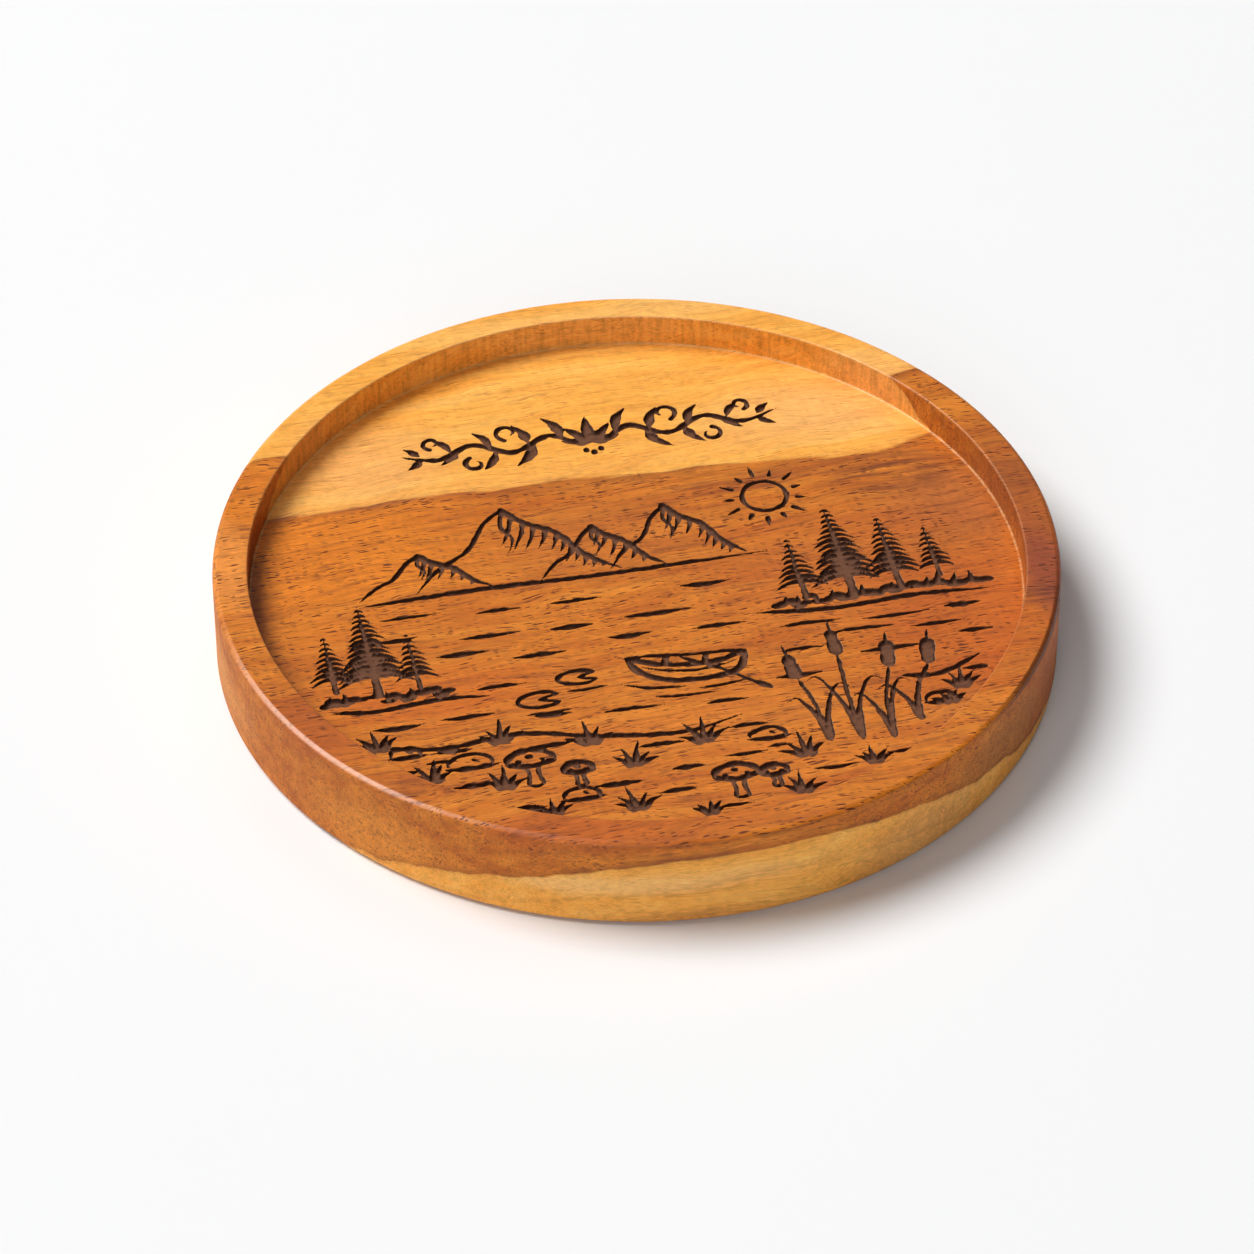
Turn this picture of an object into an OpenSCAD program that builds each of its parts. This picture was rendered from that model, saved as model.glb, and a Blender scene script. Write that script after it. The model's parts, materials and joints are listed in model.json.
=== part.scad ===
// Drink coaster: a round tray turned and routed from one flat-sawn board, millimetres, +Z up.
// The origin is at the centre of the footprint, on the surface that the coaster stands on.
// The board holds two woods, dark heartwood and pale sapwood, which meet along one growth ring.
// The ring is part of a large cylinder whose axis runs with the grain, above the coaster.

/* [Board] */
// Diameter over the outer edge
disc_d = 100; // [80:1:130]
// Thickness of the wood
disc_h = 12.1; // [10:0.1:18]
// Radius that eases the outer edge of the rim
rim_round_r = 0.9; // [0.3:0.1:2]
// Radius that eases the edge of the underside
foot_round_r = 0.5; // [0.2:0.1:1.5]

/* [Cup recess] */
// Width of the rim, from the outer edge to the wall of the recess
rim_w = 4.15; // [3:0.05:8]
// Depth of the recess below the top of the rim
recess_depth = 4.2; // [2:0.1:6]
// Width of the break on the inner edge of the rim
inner_break = 0.2; // [0.1:0.05:0.6]

/* [Carving] */
// Depth of the carved grooves below the floor of the recess
carve_depth = 0.6; // [0.3:0.1:1.2]
// Width of a carved line
line_w = 0.9; // [0.5:0.05:1.3]
// Width of a leaf, a blade of grass or a ripple
blade_w = 1.1; // [0.6:0.05:1.6]
// Width that a line narrows to at its ends
line_end_w = 0.3; // [0.1:0.05:0.5]
// Heading of the picture's level line in degrees, anticlockwise from +X
picture_heading = 12; // [0:1:30]
// Height of the scroll's middle line above the line on the floor where the two woods meet
scroll_rise = 7.7; // [6:0.1:12]
// Gap between the carving and the wall of the recess
carve_margin = 2.6; // [1:0.1:5]

/* [Growth ring] */
// Heading of the grain in degrees, anticlockwise from +X
grain_heading = 14.5; // [0:0.5:90]
// Rise of the grain in degrees, towards its heading
grain_rise = 0.8; // [0:0.1:2]
// Radius of the growth ring where the two woods meet
ring_r = 71; // [60:1:110]
// Distance from the centre of the coaster to the lowest line of the ring, towards the front
ring_shift = 13.4; // [5:0.1:20]
// Depth of the ring's lowest line below the underside of the wood
ring_sink = 0.7; // [0.4:0.1:2]

/* [Base pads] */
// Diameter of a pad
pad_d = 10; // [6:0.5:14]
// Thickness of a pad
pad_h = 1.3; // [0.8:0.1:2.5]
// How far a pad stands out of the underside
pad_proud = 0.3; // [0.1:0.05:0.6]
// Gap round a pad in its pocket
pad_gap = 0.1; // [0.05:0.05:0.3]
// Width of the break on a pad's lower edge
pad_break = 0.2; // [0.1:0.05:0.5]
// Distance from the outer edge of the board to the centre of a pad
pad_inset = 16; // [9:0.5:28]

/* [Hidden] */

// Angles of the pads from the heading of the grain, the way a board lies in its drilling jig
back_right_angle = 45;
back_left_angle = 135;
front_left_angle = 225;
front_right_angle = 315;
pad_angles = [back_right_angle, back_left_angle, front_left_angle, front_right_angle];

disc_r = disc_d / 2;
underside_z = pad_proud;
rim_top_z = underside_z + disc_h;
floor_z = rim_top_z - recess_depth;
recess_r = disc_r - rim_w;
ring_axis_z = underside_z - ring_sink + ring_r;
pad_r = pad_d / 2;
pocket_r = pad_r + pad_gap;
pocket_depth = pad_h - pad_proud;

// Each cut runs past the surface that it opens by this much
overrun = 2;
// The solids that only divide the board reach this far each way
reach = 2 * disc_d;

turn_fn = 240;
// An eased corner is three narrow bevels, a quarter of this many, as fine sanding leaves it
ease_fn = 12;
ring_fn = 360;
pad_fn = 72;

// Distance from the middle of the cup floor to the line on it where the two woods meet
joint_up = sqrt(pow(ring_r, 2) - pow(ring_axis_z - floor_z, 2)) - ring_shift;
scroll_up = joint_up + scroll_rise;

// The carving is laid out in shares of the recess's radius, across and up from the centre.
// A scroll of leaves lies on the pale wood; it is mirrored left to right.
scroll_stem_shares = [[0.035, -0.03], [0.11, 0.02], [0.21, -0.03],
                      [0.315, 0.02], [0.415, -0.022], [0.515, 0.012]];
// Foot across and up, and length, each with its angle in degrees
scroll_leaf_shares = [
    [0.07, 0.01, 0.1, 62], [0.15, -0.01, 0.1, -52], [0.165, 0, 0.09, 68],
    [0.255, -0.015, 0.085, -58], [0.265, 0.005, 0.08, 58], [0.36, 0.01, 0.075, -48],
    [0.375, 0.005, 0.07, 55], [0.455, -0.01, 0.06, -40], [0.46, 0, 0.055, 46]];
// Centre across and up, and radius
scroll_curl_shares = [[0.215, 0.055, 0.033], [0.32, -0.057, 0.029], [0.42, 0.048, 0.025]];
// Lengths of the leaves in the middle, each with its angle, and where they start
scroll_crown_shares = [[0.11, 90], [0.095, 50], [0.095, 130], [0.08, 14], [0.08, 166]];
scroll_crown_up_share = -0.03;

// A mountain lake lies on the dark wood
far_shore_share = 0.05;
far_shore_up = far_shore_share * recess_r;
// Height of the sky, from the far shore up to the pale wood
sky = joint_up - far_shore_up;
// Each peak's place across, height in shares of the sky, and half width
peak_shares = [[-0.535, 0.42, 0.185], [-0.29, 0.77, 0.28], [-0.07, 0.48, 0.17], [0.13, 0.6, 0.19]];
// The line of a peak, across in shares of its half width and up in shares of its height
ridge_shares = [[-1, 0.03], [-0.72, 0.33], [-0.42, 0.52], [-0.2, 0.84], [0, 1],
                [0.17, 0.8], [0.45, 0.6], [0.66, 0.27], [0.95, 0.03]];
// Where a peak's shaded side is hatched, and how long the hatching is
hatch_shares = [[0.17, 0.8, 0.4], [0.45, 0.6, 0.3], [0.62, 0.36, 0.24]];
// Heading of the hatching
hatch_angle = 247;
// Place across, then its height above the far shore and its radius in shares of the sky
sun_shares = [0.4, 0.56, 0.15];
sun_rays = 13;
// Where a ray begins and how long it is, in shares of the sun's radius
ray_shares = [1.5, 0.5];
// Foot across and up, and height
fir_shares = [[0.415, -0.14, 0.23], [0.54, -0.155, 0.35], [0.665, -0.145, 0.275],
              [0.775, -0.13, 0.195], [-0.725, -0.295, 0.34], [-0.83, -0.27, 0.22],
              [-0.62, -0.29, 0.21]];
// One side of a fir from its foot to its top, in shares of its height
fir_side_shares = [[0.03, 0], [0.03, 0.16], [0.32, 0.12], [0.16, 0.3], [0.25, 0.27],
                   [0.12, 0.46], [0.18, 0.43], [0.08, 0.63], [0.11, 0.6], [0.03, 0.82]];
// The lines of the far shore, the right bank, the left bank and the near bank
shore_shares = [[[-0.72, 0.042], [-0.39, 0.052], [-0.09, 0.046], [0.36, 0.052]],
                [[0.27, -0.185], [0.48, -0.205], [0.7, -0.195], [0.9, -0.21]],
                [[-0.86, -0.345], [-0.74, -0.36], [-0.57, -0.347], [-0.445, -0.36]],
                [[-0.79, -0.49], [-0.61, -0.53], [-0.41, -0.515], [-0.2, -0.565],
                 [0, -0.59], [0.17, -0.55]],
                [[0.58, -0.495], [0.68, -0.505], [0.8, -0.45]]];
// Middle across and up, and length
ripple_shares = [
    [0.4, -0.25, 0.16], [0.63, -0.26, 0.2], [0.8, -0.255, 0.1], [0.53, -0.3, 0.18],
    [0.72, -0.315, 0.14], [0.36, -0.345, 0.12], [-0.41, -0.13, 0.17], [-0.2, -0.14, 0.12],
    [0.03, -0.13, 0.19], [-0.49, -0.19, 0.14], [-0.6, -0.02, 0.16], [-0.37, -0.04, 0.13],
    [-0.17, -0.04, 0.15], [0.17, -0.04, 0.14], [-0.65, -0.1, 0.12], [-0.3, -0.23, 0.15],
    [0.17, -0.21, 0.14], [-0.52, -0.425, 0.15], [-0.7, -0.43, 0.13], [0.81, -0.36, 0.1],
    [0.58, -0.385, 0.17], [-0.11, -0.48, 0.16], [-0.42, -0.33, 0.13], [0.33, -0.44, 0.13],
    [0.13, -0.5, 0.12]];
// Middle across and up, and half width
lily_shares = [[-0.22, -0.335, 0.055], [-0.33, -0.4, 0.06]];
lily_height_share = 0.46;
lily_arc = [35, 325];
// Middle across and up, and half length
boat_shares = [0.06, -0.34, 0.155];
// How far the bow is turned down, in degrees
boat_turn = -3;
// The boat's lines, in shares of its half length
boat_line_shares = [[[-1, 0.3], [-0.5, 0.06], [0.1, -0.02], [0.62, 0.04], [1, 0.22]],
                    [[-1, 0.3], [-0.8, -0.1], [-0.35, -0.36], [0.4, -0.38], [0.84, -0.2], [1, 0.22]],
                    [[-0.12, 0.2], [0.5, -0.18], [1.02, -0.6], [1.28, -0.8]]];
// Foot across and up, height of the stem, and lean
cattail_shares = [[0.35, -0.7, 0.25, -0.03], [0.43, -0.71, 0.33, 0.01], [0.51, -0.72, 0.27, 0.05],
                  [0.59, -0.67, 0.21, 0.07]];
// Length and width of its head
cattail_head_shares = [0.1, 0.04];
// Middle across and up, and half width
stone_shares = [[-0.7, -0.535, 0.04], [-0.55, -0.6, 0.055], [0.2, -0.645, 0.045],
                [-0.3, -0.77, 0.045], [0.66, -0.6, 0.04]];
stone_height_share = 0.62;
stone_arc = [-15, 195];
// Middle of the cap across and up, and half its width
mushroom_shares = [[-0.4, -0.63, 0.065], [0.09, -0.78, 0.06]];
mushroom_height_share = 0.8;
mushroom_stem_share = 1.2;
mushroom_arc = [0, 180];
// Foot across and up, height, and lean in degrees
tuft_shares = [
    [-0.76, -0.51, 0.085, 6], [-0.46, -0.54, 0.085, -6], [-0.65, -0.65, 0.085, -3],
    [-0.24, -0.59, 0.09, 6], [-0.48, -0.71, 0.085, -6], [-0.15, -0.69, 0.085, -9],
    [0.04, -0.64, 0.095, 0], [-0.38, -0.83, 0.075, 0], [-0.17, -0.85, 0.085, 6],
    [0.28, -0.74, 0.09, 6], [0.24, -0.87, 0.075, -6], [0.72, -0.57, 0.08, -6]];
tuft_angles = [-48, 0, 48];
// The outline of a leaf, in shares of its length and of its width
leaf_shares = [[0, 0], [0.3, 0.5], [0.7, 0.33], [1, 0], [0.7, -0.33], [0.3, -0.5]];
// A tendril starts at this angle and turns by this much, in to this share of its radius
curl_start = -70;
curl_turn = 330;
curl_end_share = 0.4;
// Width of a tendril, in shares of a carved line's
curl_w_share = 0.65;
curl_steps = 8;
arc_steps = 8;
// Blades that grow from one foot start this far before it, so that they overlap there
foot_lap = 0.5;

// What a round of radius r takes off a square corner whose point is at the origin
module corner_waste(r) {
    translate([-r, -r])
        difference() {
            square(r + overrun);
            circle(r, $fn = ease_fn);
        }
}

// The turned disc, with its outer edges eased
module turned_disc() {
    translate([0, 0, underside_z])
        rotate_extrude($fn = turn_fn)
            difference() {
                square([disc_r, disc_h]);
                translate([disc_r, disc_h]) corner_waste(rim_round_r);
                translate([disc_r, 0]) mirror([0, 1]) corner_waste(foot_round_r);
            }
}

// The routed recess that takes the foot of a cup or glass, with its broken upper edge
module cup_recess() {
    translate([0, 0, floor_z])
        cylinder(h = recess_depth + overrun, r = recess_r, $fn = turn_fn);
    translate([0, 0, rim_top_z - inner_break])
        cylinder(h = inner_break + overrun, r1 = recess_r,
                 r2 = recess_r + inner_break + overrun, $fn = turn_fn);
}

// Moves its children to a pad's place, with z = 0 on the surface that the coaster stands on
module at_pad(angle) {
    rotate(grain_heading + angle) translate([disc_r - pad_inset, 0, 0]) children();
}

// The drilled pocket that a pad is glued into
module pad_pocket(angle) {
    at_pad(angle)
        translate([0, 0, underside_z - overrun])
            cylinder(h = overrun + pocket_depth, r = pocket_r, $fn = pad_fn);
}

// Unit vector across a line of points at its point i
function across(line, i) =
    let (before = line[max(i - 1, 0)],
         after = line[min(i + 1, len(line) - 1)],
         along = (after - before) / norm(after - before))
    [-along.y, along.x];

// One side of a groove: its line of points, moved out by half its width there
function groove_side(line, w, side) =
    [for (i = [0 : len(line) - 1])
        let (there = i == 0 || i == len(line) - 1 ? line_end_w : w)
        line[i] + side * across(line, i) * there / 2];

function backwards(line) = [for (i = [len(line) - 1 : -1 : 0]) line[i]];

// Shares of the recess's radius as a line of points
function laid_out(shares) = [for (share = shares) share * recess_r];

// Points round part of an ellipse
function arc_points(r_across, r_up, span) =
    [for (i = [0 : arc_steps])
        let (a = span[0] + (span[1] - span[0]) * i / arc_steps)
        [r_across * cos(a), r_up * sin(a)]];

// A carved line, thin at both ends
module groove(line, w) {
    polygon(concat(groove_side(line, w, 1), backwards(groove_side(line, w, -1))));
}

// A carved leaf that points along +X
module leaf(length, w) {
    polygon([for (share = leaf_shares) [share.x * length, share.y * w]]);
}

// A leaf that grows from the same foot as others
module blade(length, w) {
    translate([-foot_lap, 0]) leaf(length + foot_lap, w);
}

// Moves its children to a place in the picture
module in_picture(share) {
    translate([share.x * recess_r, share.y * recess_r]) children();
}

// A tendril that winds in from radius r
module curl(r) {
    groove([for (i = [0 : curl_steps])
        let (a = curl_start + curl_turn * i / curl_steps,
             reach_in = r * (1 - (1 - curl_end_share) * i / curl_steps))
        reach_in * [cos(a), sin(a)]], curl_w_share * line_w);
}

module half_scroll() {
    groove(laid_out(scroll_stem_shares), line_w);
    for (share = scroll_leaf_shares)
        in_picture(share) rotate(share[3]) leaf(share[2] * recess_r, blade_w);
    for (share = scroll_curl_shares)
        in_picture(share) mirror([0, share.y < 0 ? 1 : 0]) curl(share[2] * recess_r);
}

module scroll() {
    translate([0, scroll_up]) {
        half_scroll();
        mirror([1, 0]) half_scroll();
        in_picture([0, scroll_crown_up_share])
            for (share = scroll_crown_shares)
                rotate(share[1]) blade(share[0] * recess_r, blade_w);
    }
}

// One peak, as an outline and the hatching of its shaded side
module peak(share) {
    half = share[2] * recess_r;
    height = share[1] * sky;
    in_picture([share[0], far_shore_share]) {
        groove([for (point = ridge_shares) [point.x * half, point.y * height]], line_w);
        for (point = hatch_shares)
            translate([point.x * half, point.y * height])
                rotate(hatch_angle) leaf(point[2] * height, line_w);
    }
}

module sun() {
    r = sun_shares[2] * sky;
    translate([sun_shares[0] * recess_r, far_shore_up + sun_shares[1] * sky]) {
        difference() {
            circle(r + line_w / 2);
            circle(r - line_w / 2);
        }
        for (i = [1 : sun_rays])
            rotate(i * 360 / sun_rays)
                translate([ray_shares.x * r, 0]) leaf(ray_shares.y * r, line_w);
    }
}

module fir(share) {
    height = share[2] * recess_r;
    side = [for (point = fir_side_shares) point * height];
    in_picture(share)
        polygon(concat(side, [[0, height]], backwards([for (point = side) [-point.x, point.y]])));
}

module lily_pad(share) {
    r = share[2] * recess_r;
    in_picture(share) groove(arc_points(r, r * lily_height_share, lily_arc), line_w);
}

module boat() {
    half = boat_shares[2] * recess_r;
    in_picture(boat_shares)
        rotate(boat_turn)
            for (line = boat_line_shares)
                groove([for (point = line) point * half], line_w);
}

// A stem with a thick head on it
module cattail(share) {
    top = [share[3], share[2]] * recess_r;
    in_picture(share) {
        groove([[0, 0], top / 2, top], line_w);
        translate(top)
            rotate(90) blade(cattail_head_shares.x * recess_r, cattail_head_shares.y * recess_r);
    }
}

module stone(share) {
    r = share[2] * recess_r;
    in_picture(share) {
        groove(arc_points(r, r * stone_height_share, stone_arc), line_w);
        translate([-r, 0]) leaf(2 * r, line_w);
    }
}

module mushroom(share) {
    r = share[2] * recess_r;
    in_picture(share) {
        groove(arc_points(r, r * mushroom_height_share, mushroom_arc), line_w);
        translate([-r, 0]) leaf(2 * r, line_w);
        rotate(-90) leaf(mushroom_stem_share * r, blade_w);
    }
}

module tuft(share) {
    in_picture(share)
        for (angle = tuft_angles)
            rotate(90 + share[3] + angle) blade(share[2] * recess_r, blade_w);
}

module lake() {
    for (share = peak_shares) peak(share);
    for (shares = shore_shares) groove(laid_out(shares), line_w);
    for (share = ripple_shares)
        in_picture(share) translate([-share[2] * recess_r / 2, 0]) leaf(share[2] * recess_r, line_w);
    sun();
    for (share = fir_shares) fir(share);
    for (share = lily_shares) lily_pad(share);
    boat();
    for (share = cattail_shares) cattail(share);
    for (share = stone_shares) stone(share);
    for (share = mushroom_shares) mushroom(share);
    for (share = tuft_shares) tuft(share);
}

// The main grooves that are carved into the cup floor
module carving() {
    translate([0, 0, floor_z - carve_depth])
        linear_extrude(height = carve_depth + overrun)
            intersection() {
                circle(recess_r - carve_margin, $fn = turn_fn);
                rotate(picture_heading) {
                    scroll();
                    lake();
                }
            }
}

// The whole board, before it is told apart into its two woods
module board() {
    difference() {
        turned_disc();
        cup_recess();
        carving();
        for (angle = pad_angles) pad_pocket(angle);
    }
}

// Turns its children so that their X runs with the grain, and moves them to the ring's lowest line
module with_grain() {
    rotate([0, 0, grain_heading])
        translate([0, -ring_shift, 0])
            rotate([0, -grain_rise, 0])
                children();
}

// Everything inside the growth ring
module ring_log() {
    with_grain()
        translate([-reach, 0, ring_axis_z])
            rotate([0, 90, 0])
                cylinder(h = 2 * reach, r = ring_r, $fn = ring_fn);
}

// The half of space behind the ring's lowest line
module behind_ring() {
    with_grain() translate([-reach, 0, -reach]) cube(2 * reach);
}

// Dark wood that carries the middle of the cup floor, both ends of the rim and most of the front
module heartwood_core() {
    color("#b8692c")
        intersection() {
            board();
            ring_log();
        }
}

// Pale wood at the back, through the whole thickness of the board
module sapwood_back() {
    color("#eab26a")
        difference() {
            intersection() {
                board();
                behind_ring();
            }
            ring_log();
        }
}

// Pale wedge along the foot of the front, under the heartwood
module sapwood_front() {
    color("#e2a862")
        difference() {
            board();
            behind_ring();
            ring_log();
        }
}

// One non-slip pad, seated on the ceiling of its pocket
module pad(angle) {
    color("#6b5a48")
        at_pad(angle) {
            cylinder(h = pad_break, r1 = pad_r - pad_break, r2 = pad_r, $fn = pad_fn);
            translate([0, 0, pad_break])
                cylinder(h = pad_h - pad_break, r = pad_r, $fn = pad_fn);
        }
}

module pad_front_left() {
    pad(front_left_angle);
}

module pad_front_right() {
    pad(front_right_angle);
}

module pad_back_left() {
    pad(back_left_angle);
}

module pad_back_right() {
    pad(back_right_angle);
}

heartwood_core();
sapwood_back();
sapwood_front();
pad_front_left();
pad_front_right();
pad_back_left();
pad_back_right();
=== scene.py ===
import functools
import json
import math
import bpy
import numpy as np
from mathutils import Matrix, Quaternion, Vector

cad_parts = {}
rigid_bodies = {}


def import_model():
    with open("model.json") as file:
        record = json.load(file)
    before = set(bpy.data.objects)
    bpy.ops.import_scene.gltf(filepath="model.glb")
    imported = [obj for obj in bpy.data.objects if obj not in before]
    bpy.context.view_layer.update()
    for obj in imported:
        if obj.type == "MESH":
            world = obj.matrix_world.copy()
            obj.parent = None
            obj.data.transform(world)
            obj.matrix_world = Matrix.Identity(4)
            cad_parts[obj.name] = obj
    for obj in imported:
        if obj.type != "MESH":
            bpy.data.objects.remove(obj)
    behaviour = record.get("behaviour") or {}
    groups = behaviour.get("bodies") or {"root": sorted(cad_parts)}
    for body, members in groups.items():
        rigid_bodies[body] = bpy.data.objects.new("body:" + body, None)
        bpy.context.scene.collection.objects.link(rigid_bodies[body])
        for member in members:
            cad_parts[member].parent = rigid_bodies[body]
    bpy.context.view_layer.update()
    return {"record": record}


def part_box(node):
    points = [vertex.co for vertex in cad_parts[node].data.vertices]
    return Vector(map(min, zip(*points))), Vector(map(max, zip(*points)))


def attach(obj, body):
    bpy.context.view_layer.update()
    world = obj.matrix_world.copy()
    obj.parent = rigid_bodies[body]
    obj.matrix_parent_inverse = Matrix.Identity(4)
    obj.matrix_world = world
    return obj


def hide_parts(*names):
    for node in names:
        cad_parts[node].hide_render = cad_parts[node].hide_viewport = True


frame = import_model()
mm = 0.001  # the dictionaries are in millimetres and degrees, Blender works in metres

# The camera, fitted to the edges of the coaster in the photograph
camera = {
    "imageSide": 1254,  # pixels
    "focalPixels": 5447,
    "originPixel": (636.6, 633.8),  # where the centre of the footprint shows
    "elevation": 40.95,
    "distance": 650,
    "roll": 0.15,
    "sensor": 36,
    "clip": (10, 50000),
}


def newObject(name, data):
    thing = bpy.data.objects.new(name, data)
    bpy.context.scene.collection.objects.link(thing)
    return thing


def placeCamera(look):
    data = bpy.data.cameras.new("productCamera")
    data.sensor_width = look["sensor"]
    data.lens = look["focalPixels"] * look["sensor"] / look["imageSide"]
    data.clip_start, data.clip_end = (v * mm for v in look["clip"])
    eye = newObject("productCamera", data)
    rise = math.radians(look["elevation"])
    back = Vector((0, -math.cos(rise), math.sin(rise)))
    eye.location = back * look["distance"] * mm
    # aimed at the origin first, then turned a little so that the origin lands on its pixel
    middle = look["imageSide"] / 2
    yaw, pitch = (math.atan((p - middle) / look["focalPixels"]) for p in look["originPixel"])
    eye.rotation_mode = "QUATERNION"
    eye.rotation_quaternion = (
        (-back).to_track_quat("-Z", "Y")
        @ Quaternion((0, 0, 1), math.radians(look["roll"]))
        @ Quaternion((0, 1, 0), yaw)
        @ Quaternion((1, 0, 0), pitch)
    )
    bpy.context.scene.camera = eye


placeCamera(camera)
bpy.context.scene.view_settings.view_transform = "Standard"
print("camera placed")


def linearColour(hexCode):
    # sRGB hex to the linear colour that Blender's sockets take
    parts = [int(hexCode[i:i + 2], 16) / 255 for i in (1, 3, 5)]
    return [p / 12.92 if p <= 0.04045 else ((p + 0.055) / 1.055) ** 2.4 for p in parts] + [1]


def addNode(tree, kind, inputs=(), stops=(), **settings):
    # the kind may end in an operation; inputs are numbers, hex colours, nodes or sockets, given by
    # their place or by their name; stops are the places and hex colours of a colour ramp
    kind, *operation = kind.split()
    node = tree.nodes.new("ShaderNode" + kind)
    for name, value in [*settings.items(), *(("operation", v) for v in operation)]:
        setattr(node, name, value)
    for spot, hexCode in stops:
        node.color_ramp.elements.new(spot).color = linearColour(hexCode)
    for end in (0, -1) if stops else ():
        node.color_ramp.elements.remove(node.color_ramp.elements[end])
    for key, value in inputs.items() if isinstance(inputs, dict) else enumerate(inputs):
        if isinstance(value, bpy.types.Node):
            value = value.outputs[0]
        if isinstance(value, bpy.types.NodeSocket):
            tree.links.new(value, node.inputs[key])
        else:
            node.inputs[key].default_value = linearColour(value) if isinstance(value, str) else value
    return node


def emptyNodes(owner):
    # returns the function that adds nodes to this material or world
    owner.use_nodes = True
    owner.node_tree.nodes.clear()
    return functools.partial(addNode, owner.node_tree)


# The wooden board: turned to a disc, routed for the cup, sanded and oiled
board = {
    "rimWidth": 4.15,
    "edgeFacet": (0.42, 0.25),  # width and drop of the facet that sanding leaves on the outer edge
    "edgeRound": (0.22, 0.8),  # width and drop of the round below it
    "easeWaver": 0.06,  # share by which hand sanding varies the outer edge
    "easeWaves": [(1, 3, 0.7), (0.6, 7, 2.1), (0.35, 17, 0)],  # strength, number round the edge, start
    "footEase": 0.5,
    "innerBreak": 0.22,
    "wallFillet": 0.22,  # left by the router bit at the foot of the recess wall
    "hold": 0.08,  # width of the strips that keep the flats flat beside a round
    "turns": 480,
    "grainHeading": 14.5,
    "grainRise": 0.8,
    "ringRadius": 71,  # of the growth ring where the two woods meet
    "ringShift": 13.4,  # of its axis, towards the front
    "ringSink": 0.7,  # of its lowest line, below the board
    "ringSides": 720,
}
woodNodes = ["heartwood_core", "sapwood_back", "sapwood_front"]
woodLow = Vector(min(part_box(n)[0][i] for n in woodNodes) for i in range(3)) / mm
woodHigh = Vector(max(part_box(n)[1][i] for n in woodNodes) for i in range(3)) / mm
discRadius = (woodHigh.x - woodLow.x) / 2
underZ, rimZ = woodLow.z, woodHigh.z
cupSeat = next(m for m in frame["record"]["mounts"] if m["name"] == "cup_seat")
floorZ = cupSeat["pos_m"][2] / mm
recessRadius = discRadius - board["rimWidth"]

# The frame of the growth rings: X runs with the grain, along the axis of the rings
heading = math.radians(board["grainHeading"])
rise = math.radians(board["grainRise"])
grainTurn = Matrix.Rotation(heading, 3, "Z") @ Matrix.Rotation(-rise, 3, "Y")
axisHeight = underZ - board["ringSink"] + board["ringRadius"]
ringCentre = (
    Matrix.Rotation(heading, 3, "Z") @ Vector((0, -board["ringShift"], 0))
    + grainTurn @ Vector((0, 0, axisHeight))
)


def newPiece(name, vertices, faces):
    # vertices are in millimetres
    mesh = bpy.data.meshes.new(name)
    mesh.from_pydata((np.asarray(vertices, float) * mm).tolist(), [], faces)
    return newObject(name, mesh)


def applyModifiers(piece):
    shown = piece.evaluated_get(bpy.context.evaluated_depsgraph_get())
    mesh = bpy.data.meshes.new_from_object(shown)
    piece.modifiers.clear()
    old, piece.data = piece.data, mesh
    mesh.name = piece.name
    bpy.data.meshes.remove(old)


def carve(piece, tool, operation):
    step = piece.modifiers.new("carve", "BOOLEAN")
    step.operation, step.object, step.solver = operation, tool, "MANIFOLD"
    applyModifiers(piece)


def arcPoints(centre, radius, start, end, steps):
    turn = np.radians(np.linspace(start, end, steps + 1))
    return [(centre[0] + radius * math.cos(a), centre[1] + radius * math.sin(a)) for a in turn]


def bendPoints(start, corner, end, steps):
    # a curve that leaves start and reaches end along the two sides of the corner
    start, corner, end = (np.array(p, float) for p in (start, corner, end))
    return [tuple((1 - t) ** 2 * start + 2 * t * (1 - t) * corner + t ** 2 * end)
            for t in np.linspace(0, 1, steps + 1)]


def latheMesh(profileAt, turns):
    # a closed solid of revolution; the profile's first and last points lie on the axis
    angles = np.arange(turns) * 2 * math.pi / turns
    columns = np.array([profileAt(a) for a in angles])
    x, y = columns[:, :, 0] * np.cos(angles)[:, None], columns[:, :, 0] * np.sin(angles)[:, None]
    rows = np.stack([x, y, columns[:, :, 1]], axis=2)
    count = rows.shape[1]
    vertices = [rows[0, 0]] + [rows[t, k] for k in range(1, count - 1) for t in range(turns)]
    vertices.append(rows[0, -1])
    last = len(vertices) - 1
    faces = []
    for t in range(turns):
        n = (t + 1) % turns
        faces.append((0, 1 + n, 1 + t))
        for k in range(count - 3):
            a, b = 1 + k * turns, 1 + (k + 1) * turns
            faces.append((a + t, a + n, b + n, b + t))
        top = 1 + (count - 3) * turns
        faces.append((top + t, top + n, last))
    return vertices, faces


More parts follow.
